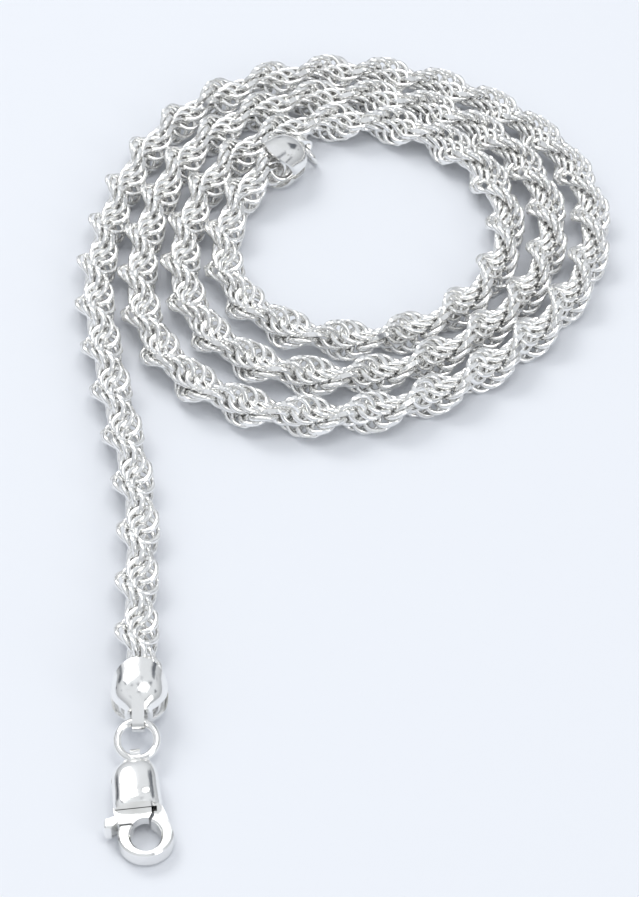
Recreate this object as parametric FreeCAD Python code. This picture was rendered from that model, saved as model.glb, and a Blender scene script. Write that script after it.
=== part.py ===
import FreeCAD, Part
import math
import os

# Diamond-cut rope chain necklace with a folded end cap at each end, a jump ring and a lobster clasp,
# lying in a loose spiral on a table. Millimetres, +Z up, origin at the middle of the footprint.

# ---- the rope ----
ROPE_DIAMETER = 4.0  # across the cut flats
HALF_PITCH = 6.46  # one half turn of the two twisted strands
LINKS_PER_HALF_PITCH = 13
WIRE_DIAMETER = 0.39
LINK_RADIUS = 1.32  # of the wire's centre line
LINK_OFFSET = 0.765  # of a link's middle from the rope's axis
LINK_LEAN = 74.7  # degrees, of a link's plane to the rope's cross-section
LINK_TWIST = 34.8  # degrees, about the link's own long line
CUT_FLATS = 8
LINKS_PER_FILE = 24

# ---- how the rope lies ----
FOOTPRINT_X, FOOTPRINT_Y = 2.747, 204.57  # taken off every table position, so that the origin is in the middle
TABLE_TO_AXIS = ROPE_DIAMETER / 2
TAIL = [
    (-15.88, 167.3),
    (-16.25, 170.4),
    (-16.75, 176.4),
    (-16.95, 182.4),
    (-17.15, 188.4),
    (-17.95, 194.3),
    (-19.15, 200.2),
    (-20.5, 206.1),
    (-21.7, 212.0),
]
COIL_X, COIL_Y = 2.86, 228.70
COIL_RADIUS = 28.4
COIL_FEED = 4.6  # how far each turn lies inside the last
COIL_FIRST, COIL_LAST, COIL_STEP = -167.0, -1321.0, 12.0  # degrees, clockwise from above
CAP_RISE = 0.64  # the rope climbs this much into each end cap
CAP_RISE_LENGTH = 15.0

# ---- end caps, folded from thin sheet ----
CAP_WALL = 0.25
CLASP_CAP_HEIGHT = 2.6  # of the cap's middle plane above the table
INNER_CAP_HEIGHT = 2.7
# x from the mouth, half width, half height
CAP_SECTIONS = [
    (-0.6, 2.57, 2.57),
    (0.8, 2.60, 2.57),
    (2.0, 2.56, 2.50),
    (3.0, 2.38, 2.24),
    (3.8, 1.72, 1.80),
    (4.4, 1.00, 1.36),
]
CAP_MOUTH = [(-0.35, 0.0), (-0.2, 0.9), (0.2, 1.6), (0.75, 2.15), (1.6, 2.8)]
LOOP_X = 4.95
LOOP_OUTER = 0.92
LOOP_HOLE = 0.62
LOOP_WIDTH = 1.1

# ---- rings, clasp ----
RING_WIRE = 0.72
RING_RADIUS = 1.75
END_RING_WIRE = 0.5
END_RING_RADIUS = 1.35
EYE_HEIGHT = 1.45
EYE_WIDTH = 0.9


def vec(x, y, z=0.0):
    return FreeCAD.Vector(x, y, z)


def placed(shape, x, y, z, heading, pitch=0.0, roll=0.0):
    """The shape moved to a table position, turned to its heading in degrees, pitched nose down and rolled."""
    move = FreeCAD.Placement(vec(x - FOOTPRINT_X, y - FOOTPRINT_Y, z), FreeCAD.Rotation(vec(0, 0, 1), heading))
    tip = FreeCAD.Placement(vec(0, 0, 0), FreeCAD.Rotation(vec(0, 1, 0), pitch))
    turn = FreeCAD.Placement(vec(0, 0, 0), FreeCAD.Rotation(vec(1, 0, 0), roll))
    out = shape.copy()
    out.Placement = move.multiply(tip).multiply(turn).multiply(shape.Placement)
    return out


def save(name, shape):
    solids = len(shape.Solids)
    print(name, "valid" if shape.isValid() else "NOT VALID", solids, "solids", round(shape.Volume, 2), "mm3")
    shape.exportStep("parts/" + name + ".step")


# ---------------------------------------------------------------- the rope's path


def coil_point(angle):
    """A point of the spiral: its radius shrinks turn by turn and is not quite round."""
    a = math.radians(angle)
    turns = (-161.5 - angle) / 360
    shape = -1.59 * math.cos(2 * a) + 1.48 * math.sin(2 * a) + 1.11 * math.cos(3 * a) + 0.07 * math.sin(3 * a)
    feed = COIL_FEED - 0.21 * math.cos(a) - 0.47 * math.sin(a)
    feed += -0.24 * math.cos(2 * a) + 0.34 * math.sin(2 * a) + 0.39 * math.cos(3 * a) + 0.09 * math.sin(3 * a)
    radius = COIL_RADIUS + shape - turns * feed
    return COIL_X + radius * math.cos(a), COIL_Y + radius * math.sin(a)


def rope_curve():
    points = [vec(x - FOOTPRINT_X, y - FOOTPRINT_Y) for x, y in TAIL]
    angle = COIL_FIRST
    while angle > COIL_LAST - 0.01:
        x, y = coil_point(angle)
        points.append(vec(x - FOOTPRINT_X, y - FOOTPRINT_Y))
        angle -= COIL_STEP if angle - COIL_STEP > COIL_LAST else max(angle - COIL_LAST, 0.02)
    curve = Part.BSplineCurve()
    curve.interpolate(points)
    return curve


def axis_height(s, length):
    """Height of the rope's axis: it climbs smoothly into the cap at each end."""
    near = max(1 - s / CAP_RISE_LENGTH, 1 - (length - s) / CAP_RISE_LENGTH, 0.0)
    return TABLE_TO_AXIS + CAP_RISE * near * near * (3 - 2 * near)


def rope_frame(curve, s, length):
    """Position and the three directions of the rope at a distance s along it."""
    t = curve.parameterAtDistance(s, curve.FirstParameter)
    point = curve.value(t)
    tangent = curve.tangent(t)[0]
    slope = (axis_height(s + 0.1, length) - axis_height(s - 0.1, length)) / 0.2
    along = vec(tangent.x, tangent.y, slope).normalize()
    side = vec(0, 0, 1).cross(along).normalize()
    up = along.cross(side)
    return vec(point.x, point.y, axis_height(s, length)), along, side, up


# ---------------------------------------------------------------- the links


def link_phase(index):
    """Each link turns half a turn and one step more than the one before."""
    return -index * (math.pi + math.pi / LINKS_PER_HALF_PITCH)


def cutting_prism():
    """The eight flats that the diamond cut leaves along the rope."""
    corner = ROPE_DIAMETER / 2 / math.cos(math.pi / CUT_FLATS)
    ring = []
    for i in range(CUT_FLATS + 1):
        a = math.pi / CUT_FLATS + 2 * math.pi * i / CUT_FLATS
        ring.append(vec(-3, corner * math.cos(a), corner * math.sin(a)))
    return Part.Face(Part.makePolygon(ring)).extrude(vec(6, 0, 0))


def cut_link(index, prism):
    """One wire link about the rope's axis (X), with its outer side cut flat."""
    phase = link_phase(index)
    lean, twist = math.radians(LINK_LEAN), math.radians(LINK_TWIST)
    out = vec(0, math.cos(phase), math.sin(phase))
    around = vec(0, math.sin(phase), -math.cos(phase))
    along = vec(1, 0, 0)
    long_line = along * math.sin(lean) + around * math.cos(lean)
    normal = along * math.cos(lean) - around * math.sin(lean)
    cross_line = out * math.cos(twist) + normal * math.sin(twist)
    axis = cross_line.cross(long_line)
    wire = Part.makeTorus(LINK_RADIUS, WIRE_DIAMETER / 2, out * LINK_OFFSET, axis)
    return wire.common(prism).Solids[0]


def rope_links():
    curve = rope_curve()
    length = curve.length()
    step = HALF_PITCH / LINKS_PER_HALF_PITCH
    count = int(length / step)
    print("rope length", round(length, 1), "links", count)
    prism = cutting_prism()
    templates = [cut_link(i, prism) for i in range(LINKS_PER_HALF_PITCH)]
    links = []
    for i in range(count):
        point, along, side, up = rope_frame(curve, (i + 0.5) * step, length)
        link = templates[i % LINKS_PER_HALF_PITCH].copy()
        link.Placement = FreeCAD.Placement(point, FreeCAD.Rotation(along, side, up, "XZY"))
        links.append(link)
    return links


# ---------------------------------------------------------------- end caps


def section(x, y, z, half_width, half_height, power=2.4, points=16):
    """A closed rounded outline across the X direction, boxier than an ellipse."""
    ring = []
    for i in range(points):
        a = 2 * math.pi * (i + 0.5) / points
        c, s = math.cos(a), math.sin(a)
        dy = half_width * math.copysign(abs(c) ** (2 / power), c)
        dz = half_height * math.copysign(abs(s) ** (2 / power), s)
        ring.append(vec(x, y + dy, z + dz))
    curve = Part.BSplineCurve()
    curve.interpolate(ring, True)
    return Part.Wire(curve.toShape())


def cap_shell():
    outer = Part.makeLoft([section(x, 0, 0, w, h) for x, w, h in CAP_SECTIONS], True)
    hollow = []
    for x, w, h in CAP_SECTIONS:
        back = -0.4 if x < 0 else 0.0
        hollow.append(section(x + back, 0, 0, w - CAP_WALL, h - CAP_WALL))
    return outer.cut(Part.makeLoft(hollow, True))


def mouth_trim():
    """A vertical prism that rounds the leaves' front edges."""
    left = [vec(x, y, -4) for x, y in CAP_MOUTH]
    right = [vec(x, -y, -4) for x, y in reversed(CAP_MOUTH)][:-1]
    curve = Part.BSplineCurve()
    curve.interpolate(right + left)
    back = Part.makePolygon([left[-1], vec(7, 2.8, -4), vec(7, -2.8, -4), right[0]])
    return Part.Face(Part.Wire([curve.toShape()] + back.Edges)).extrude(vec(0, 0, 8))


def tangent_point(x, z, centre_x, radius):
    """Where a line from (x, z) touches the upper side of a circle on the X axis."""
    dx, dz = centre_x - x, -z
    distance = math.hypot(dx, dz)
    direction = math.atan2(dz, dx) + math.asin(radius / distance)
    reach = math.sqrt(distance * distance - radius * radius)
    return x + reach * math.cos(direction), z + reach * math.sin(direction)


def strap_profile(start_x, start_z, radius):
    tx, tz = tangent_point(start_x, start_z, LOOP_X, radius)
    ring = [vec(start_x, 0, start_z), vec(tx, 0, tz), vec(tx, 0, -tz), vec(start_x, 0, -start_z)]
    wedge = Part.Face(Part.makePolygon(ring + ring[:1])).extrude(vec(0, LOOP_WIDTH, 0))
    disc = Part.makeCylinder(radius, LOOP_WIDTH, vec(LOOP_X, 0, 0), vec(0, 1, 0))
    return wedge.fuse(disc)


def cap_loop():
    """The narrow strap that joins the two leaves and is bent round the ring."""
    strap = strap_profile(3.7, 1.86, LOOP_OUTER)
    pinch = Part.makeCylinder(LOOP_HOLE, LOOP_WIDTH + 2, vec(LOOP_X, -1, 0), vec(0, 1, 0))
    hollow = strap_profile(3.4, 1.75, LOOP_OUTER - CAP_WALL)
    hollow = hollow.cut(Part.makeBox(3, 4, 4, vec(LOOP_X - LOOP_HOLE - 0.25, -1, -2)))
    strap = strap.cut(pinch).cut(hollow)
    strap.translate(vec(0, -LOOP_WIDTH / 2, 0))
    return strap


def side_slot():
    """The open sides between the two leaves, wider towards the loop."""
    ring = [(-2, 0.3), (1.0, 0.3), (3.2, 0.75), (4.15, 0.6), (4.15, -0.6), (3.2, -0.75), (1.0, -0.3), (-2, -0.3)]
    points = [vec(x, -4, z) for x, z in ring]
    return Part.Face(Part.makePolygon(points + points[:1])).extrude(vec(0, 8, 0))


def end_cap(roll, dot):
    leaves = cap_shell().common(mouth_trim()).cut(side_slot())
    leaves = leaves.cut(Part.makeBox(3, 6, 6, vec(4.35, -3, -3)))
    if dot:
        boss = Part.makeCylinder(0.34, 0.7, vec(1.3, -0.95, 1.9))
        leaves = leaves.fuse(boss)
    leaves.rotate(vec(0, 0, 0), vec(1, 0, 0), roll)
    return leaves.fuse(cap_loop()).removeSplitter()


# ---------------------------------------------------------------- clasp


def outline(points, low, high):
    """A flat outline, given as (x, y), as a plate from low to high."""
    ring = [vec(x, y, low) for x, y in points]
    return Part.Face(Part.makePolygon(ring + ring[:1])).extrude(vec(0, 0, high - low))


PIN_X, PIN_Y, PIN_RADIUS = 4.6, 0.55, 0.34
HOOK_X, HOOK_Y, HOOK_OUTER = 8.35, 0.15, 2.4
OPENING_X, OPENING_LONG, OPENING_WIDE = 8.5, 1.62, 1.34
HOOK_LOW, HOOK_HIGH = 0.15, 1.7
BODY_MIDDLE = 1.47
SLOT_HALF = 0.5
TRIGGER_HALF = 0.44
GATE_X = 7.25
# x, y of the middle, half width, half height
BODY_SECTIONS = [
    (0.5, 0.0, 0.95, 0.85),
    (0.95, -0.1, 1.55, 1.14),
    (1.7, -0.2, 1.95, 1.35),
    (2.9, -0.26, 2.10, 1.43),
    (4.4, -0.28, 2.13, 1.43),
    (5.75, -0.28, 2.08, 1.33),
]


def opening(low, high, grow=0.0):
    """The oval opening inside the hook."""
    oval = Part.Ellipse(vec(OPENING_X, HOOK_Y, low), OPENING_LONG + grow, OPENING_WIDE + grow)
    return Part.Face(Part.Wire(oval.toShape())).extrude(vec(0, 0, high - low))


def hook():
    """A flat bevelled band, open at the left where the trigger closes it."""
    height = HOOK_HIGH - HOOK_LOW
    band = Part.makeCylinder(HOOK_OUTER, height, vec(HOOK_X, HOOK_Y, HOOK_LOW)).cut(opening(-1, 4))
    band = band.makeChamfer(0.16, [e for e in band.Edges if e.BoundBox.ZLength < 0.001])
    shank = outline([(5.3, 1.0), (8.35, 1.2), (8.35, 2.4), (6.6, 2.15), (4.9, 1.7)], HOOK_LOW + 0.1, HOOK_HIGH - 0.1)
    gap = outline([(3.5, -4), (GATE_X + 0.06, -4), (GATE_X + 0.06, -1.0), (8.0, 0), (6.6, 1.06), (3.5, 1.0)], -1, 4)
    return band.fuse(shank.cut(opening(-1, 4))).cut(gap)


def clasp_body():
    dome = Part.makeLoft([section(x, y, BODY_MIDDLE, w, h, 2.6) for x, y, w, h in BODY_SECTIONS], True)
    slot = outline([(2.3, -4), (7, -4), (7, 1.36), (2.3, 1.36)], BODY_MIDDLE - SLOT_HALF, BODY_MIDDLE + SLOT_HALF)
    lug = Part.makeCylinder(0.92, EYE_WIDTH, vec(0, -EYE_WIDTH / 2, EYE_HEIGHT), vec(0, 1, 0))
    neck = Part.makeBox(1.6, EYE_WIDTH, 1.3, vec(0, -EYE_WIDTH / 2, EYE_HEIGHT - 0.65))
    eye = Part.makeCylinder(0.62, 3, vec(0, -1.5, EYE_HEIGHT), vec(0, 1, 0))
    body = dome.cut(slot).fuse(hook()).fuse(lug).fuse(neck).cut(eye)
    pin_hole = Part.makeCylinder(PIN_RADIUS + 0.02, 4, vec(PIN_X, PIN_Y, -0.5))
    return body.cut(pin_hole)


def trigger():
    low, high = BODY_MIDDLE - TRIGGER_HALF, BODY_MIDDLE + TRIGGER_HALF
    hub = Part.makeCylinder(0.72, high - low, vec(PIN_X, PIN_Y, low))
    arm = outline(
        [
            (4.2, 1.2),
            (4.75, 1.15),
            (5.0, 0.92),
            (6.4, 0.87),
            (8.0, 0.0),
            (GATE_X, -1.0),
            (GATE_X, -2.28),
            (5.9, -2.36),
            (4.9, -2.0),
            (3.9, -0.9),
            (3.9, 0.4),
        ],
        low,
        high,
    )
    tab = outline([(6.35, -2.1), (7.2, -2.1), (7.75, -2.75), (7.7, -3.35), (6.75, -3.3)], 0.5, 2.2)
    tab = tab.makeChamfer(0.15, [e for e in tab.Edges if e.BoundBox.YMin < -3.2])
    lever = hub.fuse(arm).fuse(tab).cut(opening(low - 1, high + 1, 0.02))
    bore = Part.makeCylinder(PIN_RADIUS + 0.04, 4, vec(PIN_X, PIN_Y, -0.5))
    return lever.cut(bore).removeSplitter()


def trigger_spring():
    """A bent strip between the body's back wall and the trigger's heel."""
    low, high = BODY_MIDDLE - 0.3, BODY_MIDDLE + 0.3
    ring = [(2.42, 1.0), (2.42, -1.25), (2.75, -1.55), (3.72, -0.75), (3.80, -0.87), (2.75, -1.75), (2.27 + 0.08, -1.3)]
    return outline(ring + [(2.35, 1.0)], low, high)


def trigger_pin():
    return Part.makeCylinder(PIN_RADIUS, 2.74, vec(PIN_X, PIN_Y, 0.1))


# ---------------------------------------------------------------- how it all goes together

CLASP_CAP = (-16.04, 168.7, -89.0)  # table position of the mouth and heading
INNER_CAP = (-5.23, 240.13, 46.0)
RING_HEADING, RING_PITCH = -92.9, 19.2
CLASP_HEADING = -82.5
END_RING_HEADING, END_RING_PITCH = 33.0, 63.0


def along_heading(x, y, heading, distance):
    a = math.radians(heading)
    return x + distance * math.cos(a), y + distance * math.sin(a)


def main():
    os.makedirs("parts", exist_ok=True)
    links = rope_links()
    for first in range(0, len(links), LINKS_PER_FILE):
        name = "rope_links_%02d" % (first // LINKS_PER_FILE + 1)
        save(name, Part.Compound(links[first : first + LINKS_PER_FILE]))

    x, y, heading = CLASP_CAP
    save("end_cap_clasp", placed(end_cap(0, False), x, y, CLASP_CAP_HEIGHT, heading))
    x, y = along_heading(x, y, heading, LOOP_X)
    ring = Part.makeTorus(RING_RADIUS, RING_WIRE / 2, vec(RING_RADIUS, 0, 0))
    save("clasp_ring", placed(ring, x, y, CLASP_CAP_HEIGHT, RING_HEADING, RING_PITCH))
    across = 2 * RING_RADIUS * math.cos(math.radians(RING_PITCH))
    print("eye height wanted", round(CLASP_CAP_HEIGHT - 2 * RING_RADIUS * math.sin(math.radians(RING_PITCH)), 3))
    x, y = along_heading(x, y, RING_HEADING, across)
    print("clasp at", round(x - FOOTPRINT_X, 3), round(y - FOOTPRINT_Y, 3), EYE_HEIGHT)
    for name, shape in [
        ("clasp_body", clasp_body()),
        ("clasp_trigger", trigger()),
        ("trigger_pin", trigger_pin()),
        ("trigger_spring", trigger_spring()),
    ]:
        save(name, placed(shape, x, y, 0, CLASP_HEADING))

    x, y, heading = INNER_CAP
    save("end_cap_inner", placed(end_cap(15, True), x, y, INNER_CAP_HEIGHT, heading))
    x, y = along_heading(x, y, heading, LOOP_X)
    ring = Part.makeTorus(END_RING_RADIUS, END_RING_WIRE / 2, vec(END_RING_RADIUS, 0, 0))
    save("end_ring", placed(ring, x, y, INNER_CAP_HEIGHT, END_RING_HEADING, END_RING_PITCH))


main()
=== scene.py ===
import bmesh
import bpy
import math
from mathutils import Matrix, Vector


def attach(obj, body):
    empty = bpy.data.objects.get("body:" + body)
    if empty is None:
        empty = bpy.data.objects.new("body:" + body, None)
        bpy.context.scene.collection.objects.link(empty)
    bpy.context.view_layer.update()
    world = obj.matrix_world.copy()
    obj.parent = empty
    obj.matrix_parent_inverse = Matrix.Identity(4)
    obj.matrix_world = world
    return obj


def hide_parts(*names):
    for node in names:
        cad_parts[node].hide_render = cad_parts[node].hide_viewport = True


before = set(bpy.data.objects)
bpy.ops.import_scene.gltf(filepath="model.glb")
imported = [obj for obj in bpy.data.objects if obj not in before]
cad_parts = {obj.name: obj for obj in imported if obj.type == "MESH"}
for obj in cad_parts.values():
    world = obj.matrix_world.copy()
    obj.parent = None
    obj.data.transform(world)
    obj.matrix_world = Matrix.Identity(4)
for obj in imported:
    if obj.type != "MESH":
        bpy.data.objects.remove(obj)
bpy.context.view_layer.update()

# ---- the camera, on the -Y side, looking down with a long lens ----
CAMERA_AT = (-0.002747, -0.20457, 0.2004)
CAMERA_TILT = 45  # degrees
SENSOR_MM = 24.0
LENS_MM = 77.59

# ---- colours ----
SILVER = (0.97, 0.965, 0.95)
SHADED_SILVER = (0.90, 0.895, 0.875)
STEEL = (0.56, 0.56, 0.57)
SHADED_STEEL = (0.4, 0.4, 0.41)
FLOOR = (0.83, 0.85, 0.89)
HORIZON = (0.50, 0.52, 0.55)
ZENITH = (0.90, 0.93, 0.97)
DARK_PATCH = (0.16, 0.17, 0.19)

# ---- the rope's shown wire ----
WIRE_GROWTH = 0.00007  # how much fuller than the CAD wire the shown wire is, on each side
SAME_POINT = 1e-7  # points nearer than this are one point
CUT_ANGLE = 28  # degrees; an edge sharper than this is the edge of a cut flat

# ---- the floor ----
FLOOR_SIZE = 4.0
FLOOR_BELOW = 0.00001  # just under the links that rest on it



def make_camera():
    data = bpy.data.cameras.new("camera")
    data.sensor_fit = "VERTICAL"
    data.sensor_height = SENSOR_MM
    data.lens = LENS_MM
    data.clip_start = 0.01
    data.clip_end = 20.0
    camera = bpy.data.objects.new("camera", data)
    camera.location = CAMERA_AT
    camera.rotation_euler = (math.radians(CAMERA_TILT), 0, 0)
    bpy.context.collection.objects.link(camera)
    bpy.context.scene.camera = camera


def new_material(name):
    material = bpy.data.materials.new(name)
    material.use_nodes = True
    nodes = material.node_tree.nodes
    links = material.node_tree.links
    return material, nodes, links, nodes["Principled BSDF"]


def metal(name, light, dark, rough, rough_spread, scale, bump):
    """Metal with slightly uneven colour and gloss and fine handling marks."""
    material, nodes, links, shader = new_material(name)
    shader.inputs["Metallic"].default_value = 1.0
    where = nodes.new("ShaderNodeTexCoord")
    cloud = nodes.new("ShaderNodeTexNoise")
    cloud.inputs["Scale"].default_value = scale
    cloud.inputs["Detail"].default_value = 3.0
    links.new(where.outputs["Object"], cloud.inputs["Vector"])
    tint = nodes.new("ShaderNodeValToRGB")
    tint.color_ramp.elements[0].position = 0.3
    tint.color_ramp.elements[0].color = (*dark, 1)
    tint.color_ramp.elements[1].position = 0.6
    tint.color_ramp.elements[1].color = (*light, 1)
    links.new(cloud.outputs["Fac"], tint.inputs["Fac"])
    links.new(tint.outputs["Color"], shader.inputs["Base Color"])
    gloss = nodes.new("ShaderNodeMapRange")
    gloss.inputs["To Min"].default_value = rough
    gloss.inputs["To Max"].default_value = rough + rough_spread
    links.new(cloud.outputs["Fac"], gloss.inputs["Value"])
    links.new(gloss.outputs["Result"], shader.inputs["Roughness"])
    marks = nodes.new("ShaderNodeTexNoise")
    marks.inputs["Scale"].default_value = scale * 9
    marks.inputs["Detail"].default_value = 4.0
    links.new(where.outputs["Object"], marks.inputs["Vector"])
    relief = nodes.new("ShaderNodeBump")
    relief.inputs["Strength"].default_value = bump
    relief.inputs["Distance"].default_value = 0.00001
    links.new(marks.outputs["Fac"], relief.inputs["Height"])
    links.new(relief.outputs["Normal"], shader.inputs["Normal"])
    return material


def dress_nodes():
    rope = metal("rope_silver", SILVER, SHADED_SILVER, 0.10, 0.12, 900, 0.10)
    cap = metal("cap_silver", SILVER, SHADED_SILVER, 0.08, 0.14, 500, 0.25)
    clasp = metal("clasp_silver", SILVER, SHADED_SILVER, 0.09, 0.14, 420, 0.25)
    spring = metal("spring_steel", STEEL, SHADED_STEEL, 0.25, 0.15, 800, 0.2)
    for name, node in list(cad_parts.items()):
        finish = clasp
        if name.startswith("rope_links"):
            finish = rope
        elif name.startswith("end_cap"):
            finish = cap
        elif name == "trigger_spring":
            finish = spring
        for material_slot in node.material_slots:
            material_slot.material = finish
        if finish == rope:
            full_wire(name, node, rope)


def full_wire(name, node, finish):
    """A piece for one CAD node's links, with fuller wire, flat where it meets the table."""
    form = bmesh.new()
    form.from_mesh(node.data)
    bmesh.ops.remove_doubles(form, verts=form.verts, dist=SAME_POINT)
    form.normal_update()
    for corner in form.verts:
        corner.co += corner.normal * WIRE_GROWTH
        corner.co.z = max(corner.co.z, 0.0)
    mesh = bpy.data.meshes.new(name + "_wire")
    form.to_mesh(mesh)
    form.free()
    mesh.shade_smooth()
    mesh.set_sharp_from_angle(angle=math.radians(CUT_ANGLE))
    mesh.materials.append(finish)
    piece = bpy.data.objects.new(name + "_wire", mesh)
    bpy.context.collection.objects.link(piece)
    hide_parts(name)
    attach(piece, "chain")


def make_floor():
    bpy.ops.mesh.primitive_plane_add(size=FLOOR_SIZE, location=(0, 0, -FLOOR_BELOW))
    floor = bpy.context.object
    floor.name = "floor"
    material, _, _, shader = new_material("floor")
    shader.inputs["Base Color"].default_value = (*FLOOR, 1)
    shader.inputs["Roughness"].default_value = 0.6
    floor.data.materials.append(material)


def soft_box(name, at, size, power):
    data = bpy.data.lights.new(name, "AREA")
    data.shape = "RECTANGLE"
    data.size, data.size_y = size
    data.energy = power
    lamp = bpy.data.objects.new(name, data)
    lamp.location = at
    lamp.rotation_euler = (-Vector(at)).to_track_quat("-Z", "Y").to_euler()
    bpy.context.collection.objects.link(lamp)


def make_sky():
    """A studio seen in the metal: bright above, greyer towards the horizon, with a few dark patches."""
    world = bpy.data.worlds.new("studio")
    world.use_nodes = True
    bpy.context.scene.world = world
    nodes = world.node_tree.nodes
    links = world.node_tree.links
    where = nodes.new("ShaderNodeTexCoord")
    parts = nodes.new("ShaderNodeSeparateXYZ")
    links.new(where.outputs["Generated"], parts.inputs[0])
    height = nodes.new("ShaderNodeValToRGB")
    height.color_ramp.elements[0].position = 0.05
    height.color_ramp.elements[0].color = (*HORIZON, 1)
    height.color_ramp.elements[1].position = 0.62
    height.color_ramp.elements[1].color = (*ZENITH, 1)
    links.new(parts.outputs["Z"], height.inputs["Fac"])
    patches = nodes.new("ShaderNodeTexNoise")
    patches.inputs["Scale"].default_value = 2.6
    patches.inputs["Detail"].default_value = 1.0
    links.new(where.outputs["Generated"], patches.inputs["Vector"])
    dark = nodes.new("ShaderNodeValToRGB")
    dark.color_ramp.elements[0].position = 0.34
    dark.color_ramp.elements[0].color = (*DARK_PATCH, 1)
    dark.color_ramp.elements[1].position = 0.40
    dark.color_ramp.elements[1].color = (1, 1, 1, 1)
    links.new(patches.outputs["Fac"], dark.inputs["Fac"])
    both = nodes.new("ShaderNodeMixRGB")
    both.blend_type = "MULTIPLY"
    both.inputs["Fac"].default_value = 1.0
    links.new(height.outputs["Color"], both.inputs["Color1"])
    links.new(dark.outputs["Color"], both.inputs["Color2"])
    links.new(both.outputs["Color"], nodes["Background"].inputs["Color"])
    nodes["Background"].inputs["Strength"].default_value = 0.85


def make_light():
    make_sky()
    soft_box("key", (-0.35, 0.45, 0.7), (0.5, 0.4), 2.2)
    soft_box("top", (0.15, -0.05, 0.8), (0.3, 0.3), 0.9)
    soft_box("front", (0.5, -0.5, 0.35), (0.25, 0.35), 0.6)


bpy.context.scene.view_settings.view_transform = "Standard"
make_camera()
dress_nodes()
make_floor()
make_light()
